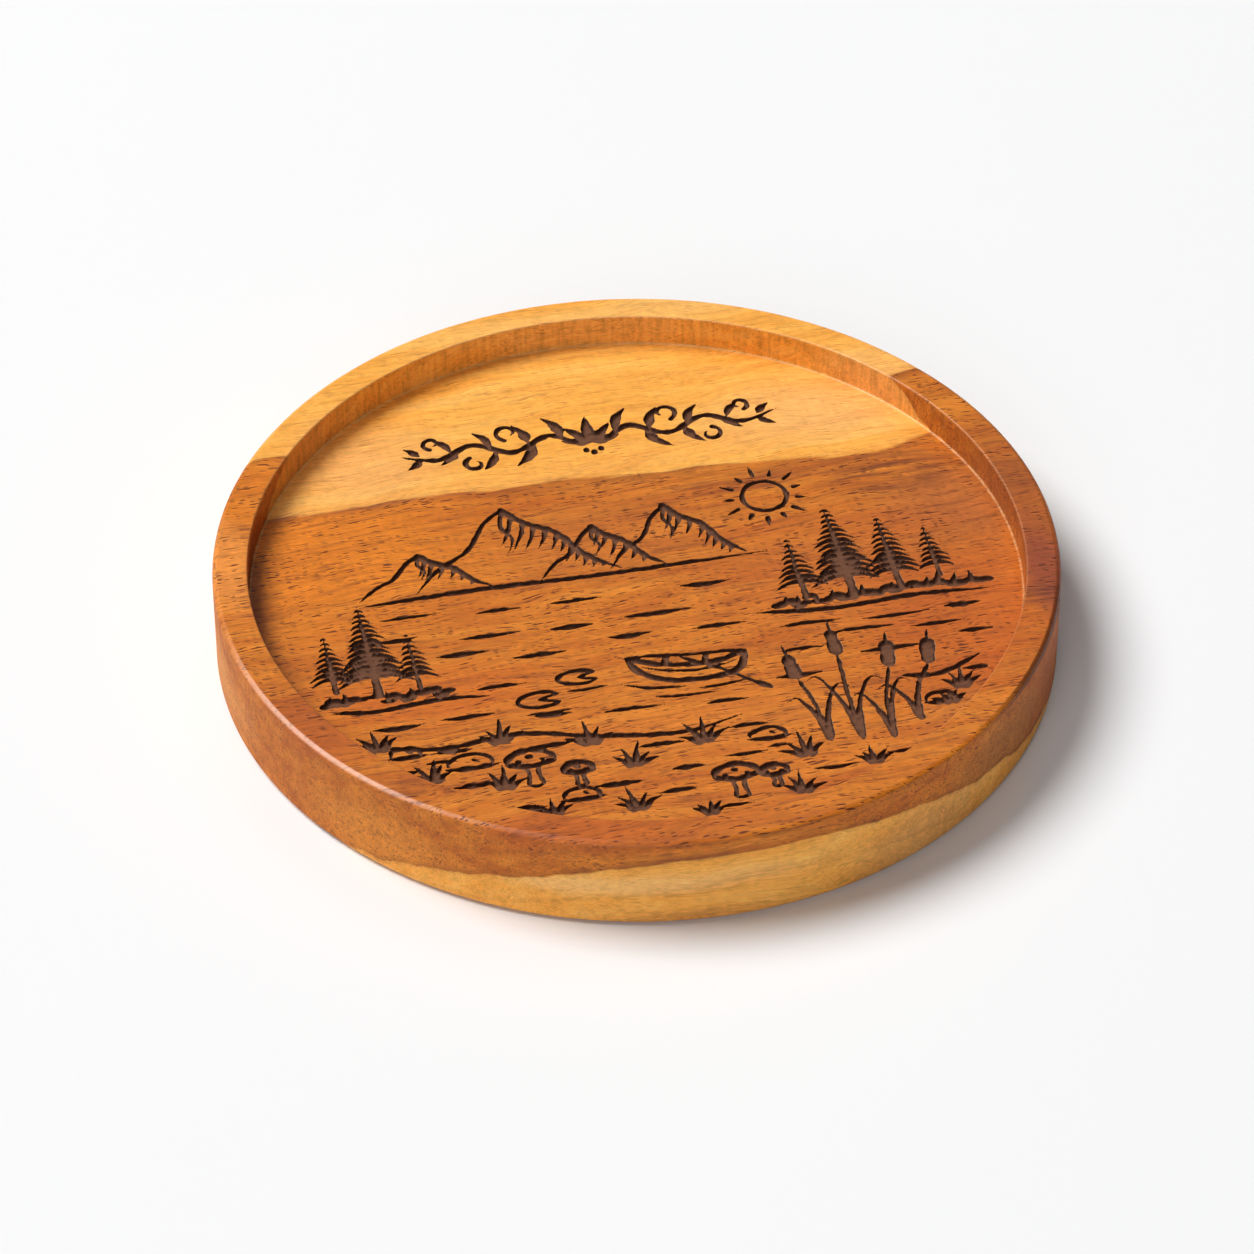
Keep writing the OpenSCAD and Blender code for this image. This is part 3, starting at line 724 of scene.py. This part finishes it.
# The two woods of the board, teak-like: heartwood is orange-brown with dark vessels, sapwood pale
# honey. One set of values serves both, because the grain runs through them without a joint.
# A grain has the length and thickness of its streaks, and its lowest and highest value. A patch has
# its place, its half size along the grain, across it and upwards, its colour and its strength.
wood = {
    "heart": ["#bf6318", "#cf741d", "#db8226"],  # from a dark streak to a light one
    "sap": ["#f6a540", "#fdb04a", "#ffba58"],
    "streakShares": (0.2, 0.5, 0.8),
    "vessel": ["#5e260c", "#b96f30"],
    "vesselRim": 1.22,  # how much paler the fibre beside a vessel is
    "gum": "#74371a",
    "endGrain": "#8a481d",
    "endStrength": (0.55, 1, 0, 0.22),  # from how far an end faces the grain to how dark it is
    "boundaryBlur": 0.15,
    "boundaryGrain": ((20, 5), -0.5, 0.5),  # how far the colours stray from the growth ring
    "boundaryBend": 1.5,  # one long bend of the ring at the back
    "bendRise": (-4, 26),  # where along the grain the bend begins and ends
    "bendFall": (30, 48),
    "bendDepth": 12,
    "broadGrain": ((24, 2.1), 0.15, 0.85),
    "wavyGrain": ((17, 9), 2.2),  # and how far the fibres sway
    "shades": [
        ((9, 0.28), 0.92, 1.08),  # real fibres are about 0.03 mm thick, drawn coarser so that they show
        ((3, 0.14), 0.88, 1.12),
        ((1.3, 2.6), 0.95, 1.05),  # faint ripple across the grain
        ((1.4, 0.7), 0.91, 1.09),  # small clouds of unevenly taken oil
    ],
    "relief": ((9, 0.28), 0, 0.25),
    "gumGrain": ((15, 0.6), -0.75, 0.5),
    "sapGum": 0.35,  # how much of it the sapwood shows
    "mineralWidth": 0.9,  # of the dark band inside the ring
    "mineralGrain": ((16, 3), -0.1, 0.65),
    "ringSpacing": 3.4,
    "lateWood": (0.6, 0.97, 0, 0.1),  # from where it begins in a year to how dark it is
    "vessels": [  # length and thickness of one cell, share of empty cells, size in its cell, strength
        {"cell": (2.3, 0.27), "empty": 0.78, "size": 0.4, "strength": 0.95},
        {"cell": (1.1, 0.2), "empty": 0.66, "size": 0.4, "strength": 0.8},
        {"cell": (4.2, 0.42), "empty": 0.86, "size": 0.32, "strength": 0.85},
    ],
    "vesselClusters": ((9, 3.5), 0.4, 1.45),  # vessels lie closer in some places than in others
    "sapVessels": 0.45,  # how much of them the sapwood shows
    "sideVessels": 0.55,  # on the turned side the dust of sanding fills them
    "heartPatches": [
        ((-38, 4, 8), (28, 20, 30), "#e3801a", 0.75),
        # painted shade on the left wall of the recess, which faces away from the key lamp
        ((-47, 2, 10.2), (5, 20, 3), "#7c320c", 0.85),
        # painted light on the right wall of the recess, which faces the key lamp
        ((46, -2, 10.6), (5, 28, 2.6), "#ee8e40", 0.7),
        # painted light on the left outer side, which faces the key lamp
        ((-50, -8, 5), (5, 26, 6), "#f4a452", 0.75),
        ((-24, -20, 8), (18, 7, 4), "#cf6418", 0.5),
        ((6, -26, 8), (26, 6, 4), "#da7c26", 0.5),
        ((40, -8, 8), (20, 24, 30), "#bb5816", 0.7),
        ((-4, 8, 8), (20, 10, 30), "#c46c24", 0.6),
        ((-6, -47, 13), (36, 7, 3.2), "#bd5c1a", 0.8),
        ((-37, -31, 13), (12, 10, 3.2), "#b4571c", 0.85),
        ((-48.5, -2, 13), (6, 13, 5), "#ee9440", 0.8),
        ((40, 15, 8), (16, 10, 5), "#b0602a", 0.75),
        ((47.5, 6, 13), (6, 28, 4), "#a8551f", 0.8),
        ((48.5, -3, 13), (5, 15, 4), "#93452a", 0.85),
        ((30, -39, 13), (13, 7, 3.5), "#cb7018", 0.6),
        ((-30, -40, 4), (26, 12, 6), "#e58e30", 0.85),
        ((24, 3, 8), (26, 15, 5), "#be5f20", 0.5),
        ((6, -50, 6), (26, 7, 5), "#dd8c30", 0.85),
        ((42, -28, 6), (14, 14, 6), "#b8702c", 0.8),
    ],
    "sapPatches": [
        ((22, 33, 8), (22, 9, 30), "#ffb868", 0.7),
        ((-8, 27, 8), (18, 7, 30), "#ffab3e", 0.6),
        ((-32, 22, 8), (14, 10, 30), "#f5ae62", 0.6),
        ((0, 47, 12), (40, 4, 5), "#ffbe68", 0.7),
        ((0, -49, 6), (30, 9, 2.5), "#ffc678", 0.7),
        ((0, -49, 0), (60, 8, 1.6), "#dc9448", 0.6),
        ((32, -38, 3), (14, 12, 8), "#d89a5a", 0.6),
    ],
    "stains": [  # streaky dark gum in the heartwood
        ((32, 20, 8), (13, 5, 8), "#74361a", 0.85),
        ((48, -7, 12), (6, 2.6, 5), "#653420", 0.95),
        ((14, 18.5, 8), (18, 2.4, 5), "#84401c", 0.7),
        ((-46, 3, 12), (5, 2, 4), "#96501e", 0.6),
        ((-22, -40, 12), (18, 4, 3), "#96481c", 0.6),
        ((12, -48, 9), (20, 6, 3), "#94501f", 0.5),
        ((44, 14, 12), (10, 8, 4), "#8a4420", 0.5),
    ],
    "stainGrain": ((9, 0.7), -0.35, 1.3),
    # how marks fade in: two distances outwards and two upwards from an edge, and the full strength
    "footStart": ((-0.34, -0.2), (0.2, 0.1), 0.6),
    "lipStart": ((0.26, 0.16), (-0.3, -0.2), 0.15),
    "oilStart": ((-0.62, -0.5), (-0.9, -0.7), 1),
    "edgeHighlightStart": ((-0.66, -0.54), (-0.45, -0.25), 1),
    "grooveStart": ((-0.9, -1), (-0.015, -0.05), 1),
    "wallStart": (-0.1, -0.02),
    "insideStart": (0.05, 0),
    # torn fibre at the foot of the wall, and a painted highlight there
    "tornFibreAndHighlight": "#f6c68c",
    "tornGrain": ((0.9, 0.7), 0, 0.85),
    # the lip of the recess: a worn edge, and a painted highlight
    "lip": "#e3ab80",
    # painted shade on the outer edge at the right, where it faces away from the key lamp
    "oil": ((46, -16, 12), (14, 22, 30), "#5a2c12", 0.8),
    # a painted highlight on the facet of the outer edge at the left, where the key lamp reflects
    "edgeHighlight": ((-36, -32, 12), (26, 24, 30), "#f4bc9c", 0.5),
    "routerMarks": (0.55, 0.55, 5),  # width, width and height of the marks on the wall
    "routerShade": (0.82, 1.18),
    "deepest": 2,  # more than a groove's depth, and less than the floor's thickness
    "scorch": [(0.05, "#8a5a36"), (0.14, "#351a0d"), (0.4, "#48291a"), (0.6, "#6e4630")],  # by depth
    "scorchGrain": ((0.6, 0.4), -0.1, 0.1),
    # painted light: pale near the top of a groove wall that faces the key lamp
    "litGrooveLip": {"colour": "#e8b080", "faces": (-0.7, 0.7, 0), "lean": (0.12, 0.45, 0, 0.55),
                "depth": (0.16, 0.1, 0, 1)},
    "roughness": ((3, 0.6), 0.35, 0.47),
    "grooveRoughness": 0.95,
    "sideRoughness": 0.72,  # the turned side is sanded less finely
    "ior": 1.44,  # of oil and wax
    "bump": 0.02,
}
smooth = {"interpolation_type": "SMOOTHSTEP"}
noiseStops = (0.3, 0.7)  # Blender's noise rarely leaves this range


def grainCells(add, grain, size, shift=(0, 0, 0)):
    # the place in the grain, in which one unit is a cell of the given length and thickness
    moved = add("VectorMath ADD", [grain, shift])
    return add("VectorMath MULTIPLY", [moved, (1 / size[0], 1 / size[1], 1 / size[1])])


def grainNoise(add, grain, size, low, high):
    # a smooth random value from low to high that is stretched with the grain
    noise = add("TexNoise", {"Vector": grainCells(add, grain, size), "Scale": 1, "Detail": 3,
                             "Roughness": 0.55})
    return add("MapRange", [noise, *noiseStops, low, high])


def vesselMask(add, grain, look, shift=(0, 0, 0)):
    # one long cell for each vessel, and only some of the cells hold one
    cells = grainCells(add, grain, look["cell"], shift)
    cell = add("TexVoronoi", {"Vector": cells, "Scale": 1, "Randomness": 1})
    core = add("MapRange", [cell.outputs["Distance"], look["size"] * 0.7, look["size"], 1, 0])
    dice = add("SeparateColor", [cell.outputs["Color"]])
    chosen = add("MapRange", [dice, look["empty"], look["empty"] + 0.05, 0, look["strength"]])
    return add("Math MULTIPLY", [core, chosen])


def patchMask(add, grain, patch):
    # strongest in the middle of a patch that is placed on the board, 0 outside it
    spot, size, _, strength = patch
    centre = grainTurn.transposed() @ (Vector(spot) - ringCentre)
    offset = add("VectorMath SUBTRACT", [grain, centre])
    offset = add("VectorMath MULTIPLY", [offset, [1 / v for v in size]])
    far = add("VectorMath LENGTH", [offset]).outputs["Value"]
    return add("MapRange", [far, 1, 0.25, 0, strength], **smooth)


def edgeMask(add, out, tall, radius, level, start, others=()):
    # rises past an edge at this radius and level, and only where the other masks are above 0
    across, upwards, strength = start
    mask = add("MapRange", [out, *(radius + v for v in across), 0, strength])
    high = add("MapRange", [tall, *(level + v for v in upwards), 0, 1])
    for other in (high, *others):
        mask = add("Math MULTIPLY", [mask, other])
    return mask


def growthRings(add, grain):
    # distance from the axis of the rings, bent and wavering as the real rings are
    flat = add("VectorMath MULTIPLY", [grain, (0, 1, 1)])
    ring = add("VectorMath LENGTH", [flat]).outputs["Value"]
    spot, shift = add("SeparateXYZ", [grain]), board["ringShift"]
    bend = add("MapRange", [spot, *wood["bendRise"], 0, wood["boundaryBend"]], **smooth)
    fall = add("MapRange", [spot, *wood["bendFall"], 1, 0], **smooth)
    atBack = add("MapRange", [spot.outputs["Y"], shift, shift + wood["bendDepth"], 0, 1])
    for share in (fall, atBack):
        bend = add("Math MULTIPLY", [bend, share])
    for change in (bend, grainNoise(add, grain, *wood["boundaryGrain"])):
        ring = add("Math ADD", [ring, change])
    return ring


def cleanWood(add, grain, side):
    # the colour of the wood before it was worked, and a height for its fibres and vessels
    ring, edge, blur = growthRings(add, grain), board["ringRadius"], wood["boundaryBlur"]
    sapShare = add("MapRange", [ring, edge - blur, edge + blur, 0, 1], **smooth)

    # the fibres run in slow waves
    size, swing = wood["wavyGrain"]
    wave = add("TexNoise", {"Vector": grainCells(add, grain, size), "Scale": 1, "Detail": 1})
    wave = add("VectorMath SUBTRACT", [wave.outputs["Color"], (0.5, 0.5, 0.5)])
    wave = add("VectorMath MULTIPLY", [wave, (0, 2 * swing, 2 * swing)])
    grain = add("VectorMath ADD", [grain, wave])
    broad = grainNoise(add, grain, *wood["broadGrain"])
    woods = []
    for name in ("heart", "sap"):
        tone = add("ValToRGB", [broad], stops=list(zip(wood["streakShares"], wood[name])))
        for patch in wood[name + "Patches"]:
            tone = add("MixRGB", [patchMask(add, grain, patch), tone, patch[2]])
        woods.append(tone)
    # streaky gum, and a dark band just inside the ring, both in the heartwood only
    streaky = grainNoise(add, grain, *wood["stainGrain"])
    band = add("MapRange", [ring, edge - wood["mineralWidth"], edge - blur, 0, 1])
    darker = [(patchMask(add, grain, patch), streaky, patch[2]) for patch in wood["stains"]]
    darker.append((band, grainNoise(add, grain, *wood["mineralGrain"]), wood["gum"]))
    for mask, streaks, hexCode in darker:
        share = add("Math MULTIPLY", [mask, streaks], use_clamp=True)
        woods[0] = add("MixRGB", [share, woods[0], hexCode])
    colour = add("MixRGB", [sapShare, *woods])

    # late wood of each year, a thin darker line on its outer side, and gum lines
    turns = add("Math DIVIDE", [ring, wood["ringSpacing"]])
    year = add("Math FRACT", [turns])
    late = add("MapRange", [year, *wood["lateWood"]], **smooth)
    gum = grainNoise(add, grain, *wood["gumGrain"])
    fewer = add("MapRange", [sapShare, 0, 1, 1, wood["sapGum"]])
    gum = add("Math MULTIPLY", [gum, fewer], use_clamp=True)
    for share in (late, gum):
        colour = add("MixRGB", [share, colour, wood["gum"]])
    for shade in wood["shades"]:
        colour = add("VectorMath MULTIPLY", [colour, grainNoise(add, grain, *shade)])

    # the vessels: fine dark pores that follow the grain, with paler fibre beside them
    pore = add("MixRGB", [sapShare, *wood["vessel"]])
    close = grainNoise(add, grain, *wood["vesselClusters"])
    for share, least in ((sapShare, wood["sapVessels"]), (side, wood["sideVessels"])):
        fewer = add("MapRange", [share, 0, 1, 1, least])
        close = add("Math MULTIPLY", [close, fewer])
    height = grainNoise(add, grain, *wood["relief"])
    for look in wood["vessels"]:
        beside = vesselMask(add, grain, look, (0.2, 0.55 * look["cell"][1], 0))
        beside = add("MapRange", [beside, 0, 1, 1, wood["vesselRim"]])
        colour = add("VectorMath MULTIPLY", [colour, beside])
        vessel = add("Math MULTIPLY", [vesselMask(add, grain, look), close])
        colour = add("MixRGB", [vessel, colour, pore])
        height = add("Math SUBTRACT", [height, vessel])
    return colour, height


def woodMaterial(name):
    # sanded and oiled: the oil deepens the colour and leaves a soft sheen, duller on the turned side
    material = bpy.data.materials.new(name)
    add = emptyNodes(material)
    texture = add("TexCoord")
    place, normal = texture.outputs["Object"], texture.outputs["Normal"]
    grain = add("Mapping", {"Vector": place, "Location": ringCentre * mm, "Scale": (mm, mm, mm),
                            "Rotation": (0, -rise, heading)}, vector_type="TEXTURE")
    # where on the coaster: distance from its axis and height, in millimetres
    level = add("VectorMath MULTIPLY", [place, (1 / mm, 1 / mm, 0)])
    out = add("VectorMath LENGTH", [level]).outputs["Value"]
    upright = add("VectorMath MULTIPLY", [place, (0, 0, 1 / mm)])
    tall = add("SeparateXYZ", [upright]).outputs["Z"]
    side, onWall, inside = (
        add("MapRange", [out, *(radius + v for v in wood[start]), 0, 1]) for radius, start in (
            (discRadius, "wallStart"), (recessRadius, "wallStart"), (recessRadius, "insideStart")))
    colour, height = cleanWood(add, grain, side)

    # end grain drinks more oil, so it is darker
    along = add("VectorMath DOT_PRODUCT", [normal, grainTurn.col[0]]).outputs["Value"]
    ends = add("Math ABSOLUTE", [along])
    ends = add("MapRange", [ends, *wood["endStrength"]])
    colour = add("MixRGB", [ends, colour, wood["endGrain"]])

    # the router leaves torn fibre at the foot of the wall, with a painted highlight on it, and fine
    # upright marks on the wall; the lip is pale, a worn edge with a painted highlight
    torn = grainNoise(add, grain, *wood["tornGrain"])
    # torn fibre and a painted highlight at the foot of the wall
    foot = edgeMask(add, out, tall, recessRadius, floorZ, wood["footStart"], [inside, torn])
    colour = add("MixRGB", [foot, colour, wood["tornFibreAndHighlight"]])
    marks = add("VectorMath DIVIDE", [place, [v * mm for v in wood["routerMarks"]]])
    marks = add("TexNoise", {"Vector": marks, "Scale": 1, "Detail": 3})
    marks = add("MapRange", [marks, *noiseStops, *wood["routerShade"]])
    marked = add("VectorMath MULTIPLY", [colour, marks])
    onWall = add("Math MULTIPLY", [onWall, inside])
    colour = add("MixRGB", [onWall, colour, marked])
    # the pale lip: a worn edge, and a painted highlight
    edge = edgeMask(add, out, tall, recessRadius, rimZ, wood["lipStart"])
    colour = add("MixRGB", [edge, colour, wood["lip"]])
    # painted shade on the outer edge at the right, away from the key lamp, and a painted highlight at the
    # left
    for name in ("oil", "edgeHighlight"):
        spot = patchMask(add, grain, wood[name])
        edge = edgeMask(add, out, tall, discRadius, rimZ, wood[name + "Start"], [spot])
        colour = add("MixRGB", [edge, colour, wood[name][2]])

    # the engraving: scorched walls, an ash-brown bottom, and painted light high on walls facing the key
    # lamp
    below = add("Math SUBTRACT", [floorZ, tall])
    shallow = add("Math LESS_THAN", [below, wood["deepest"]])
    groove = edgeMask(add, out, tall, recessRadius, floorZ, wood["grooveStart"], [shallow])
    depth = add("Math ADD", [below, grainNoise(add, grain, *wood["scorchGrain"])])
    burn = add("ValToRGB", [depth], stops=wood["scorch"])
    colour = add("MixRGB", [groove, colour, burn])
    # painted light where a groove wall faces the key lamp
    lip = wood["litGrooveLip"]
    facing = add("VectorMath DOT_PRODUCT", [normal, lip["faces"]]).outputs["Value"]
    mask = add("MapRange", [facing, *lip["lean"]])
    for share in (add("MapRange", [below, *lip["depth"]]), groove):
        mask = add("Math MULTIPLY", [mask, share])
    colour = add("MixRGB", [mask, colour, lip["colour"]])

    rough = grainNoise(add, grain, *wood["roughness"])
    for mask, value in ((groove, wood["grooveRoughness"]), (side, wood["sideRoughness"])):
        rough = add("MixRGB", [mask, rough, (value, value, value, 1)])
    bump = add("Bump", {"Height": height, "Strength": 1, "Distance": wood["bump"] * mm})
    shader = add("BsdfPrincipled", {"Base Color": colour, "Roughness": rough, "Normal": bump,
                                    "IOR": wood["ior"]})
    add("OutputMaterial", [shader])
    return material


# The rubber of the pads, warm grey-brown
rubberLook = {
    "colours": [(0.3, "#5c4c3e"), (0.7, "#76644f")],
    "clouds": 260,  # to the metre
    "pebbles": 3200,
    "roughness": 0.78,
    "ior": 1.52,
    "bump": 0.02,
    "bumpStrength": 0.4,
}


def rubberMaterial(look):
    # moulded rubber, matt: a fine pebble from the mould scatters the light
    material = bpy.data.materials.new("mouldedRubberMatt")
    add = emptyNodes(material)
    place = add("TexCoord").outputs["Object"]
    pebble = add("TexVoronoi", {"Vector": place, "Scale": look["pebbles"]})
    cloud = add("TexNoise", {"Vector": place, "Scale": look["clouds"], "Detail": 4})
    colour = add("ValToRGB", [cloud], stops=look["colours"])
    bump = add("Bump", {"Height": pebble, "Strength": look["bumpStrength"],
                        "Distance": look["bump"] * mm})
    shader = add("BsdfPrincipled", {"Base Color": colour, "Roughness": look["roughness"],
                                    "IOR": look["ior"], "Normal": bump})
    add("OutputMaterial", [shader])
    return material


heartwood = woodMaterial("oiledHeartwood")
sapwood = woodMaterial("oiledSapwood")
rubber = rubberMaterial(rubberLook)
print("materials made")

boardPiece = newPiece("board", *latheMesh(boardProfile, board["turns"]))
for node in pads["nodes"]:
    drillPocket(boardPiece, node)
drawScroll(scroll)
drawLake(lake)
print(len(strokes), "grooves drawn")
tool = engravingTool(engraving)
carve(boardPiece, tool, "DIFFERENCE")
bpy.data.objects.remove(tool)
print("cup floor engraved")

cylinder = ringCylinder()
sapPiece = newObject("board", boardPiece.data.copy())
carve(boardPiece, cylinder, "INTERSECT")
carve(sapPiece, cylinder, "DIFFERENCE")
bpy.data.objects.remove(cylinder)
sapParts = looseParts(sapPiece)
print("sapwood parts", [len(o.data.polygons) for o in sapParts])
finishMesh(boardPiece, "heartwoodCore", ["heartwood_core"], heartwood)
finishMesh(sapParts[0], "sapwoodBack", ["sapwood_back"], sapwood)
finishMesh(sapParts[-1], "sapwoodFront", ["sapwood_front"], sapwood)
print("board split along its growth ring, heartwood faces", len(boardPiece.data.polygons))


def makePad(node):
    middle, radius, bottom, top = padShape(node)
    edge, bevel = pads["edge"], pads["topEdge"]
    points = [(radius * s, bottom + pads["crown"] * (1 - s ** 4)) for s in (0, *pads["crownShares"])]
    points += arcPoints((radius - edge, bottom + edge), edge, -90, 0, 6)
    points += [(radius, top - bevel), (radius - bevel, top), (0, top)]
    name = "".join(w.capitalize() if k else w for k, w in enumerate(node.split("_"))) + "Rubber"
    finishMesh(turnedPad(name, middle, points), name, [node], rubber)


for node in pads["nodes"]:
    makePad(node)
print("pads made")

# The studio: a flat white paper floor, a large soft lamp high on the left, weak ones in front and
# at the back right, and a faint even surround. A lamp's share is how much of the floor's light it gives.
studio = {
    "paper": "#f3f3f3",
    "paperRoughness": 0.9,
    "floorSize": 24000,
    "surround": ("#e8eef6", 0.04),
    "lampDistance": 5000,
    "key": {"azimuth": 161, "elevation": 56, "size": 3000, "share": 0.81},
    "back": {"azimuth": 76, "elevation": 58, "size": 3000, "share": 0.08},
    "fill": {"azimuth": -102, "elevation": 34, "size": 3600, "share": 0.14},
}


def softLamp(name, look, distance):
    data = bpy.data.lights.new(name, "AREA")
    data.shape, data.size = "DISK", look["size"] * mm
    a, e = math.radians(look["azimuth"]), math.radians(look["elevation"])
    reach = distance ** 2 + (look["size"] * mm / 2) ** 2
    data.energy = math.pi ** 2 * reach * look["share"] / math.sin(e)
    lamp = newObject(name, data)
    toward = Vector((math.cos(a) * math.cos(e), math.sin(a) * math.cos(e), math.sin(e)))
    lamp.location = toward * distance
    lamp.rotation_mode = "QUATERNION"
    lamp.rotation_quaternion = toward.to_track_quat("Z", "Y")


def makeStudio(look):
    half = look["floorSize"] / 2
    corners = [(-half, -half, 0), (half, -half, 0), (half, half, 0), (-half, half, 0)]
    floor = newPiece("paperFloor", corners, [(0, 1, 2, 3)])
    # uncoated paper: it scatters the light evenly and has no gloss
    material = bpy.data.materials.new("mattWhitePaper")
    add = emptyNodes(material)
    shader = add("BsdfPrincipled", {"Base Color": look["paper"], "Roughness": look["paperRoughness"],
                                    "Specular IOR Level": 0})
    add("OutputMaterial", [shader])
    floor.data.materials.append(material)
    world = bpy.data.worlds.new("whiteStudio")
    bpy.context.scene.world = world
    add = emptyNodes(world)
    hexCode, strength = look["surround"]
    around = add("Background", [hexCode, strength])
    white = add("Background", ["#ffffff", 1])
    path = add("LightPath")
    seen = add("MixShader", [path.outputs["Is Camera Ray"], around, white])
    add("OutputWorld", [seen])
    for name in ("key", "back", "fill"):
        softLamp(name + "Lamp", look[name], look["lampDistance"] * mm)


makeStudio(studio)
print("studio made")
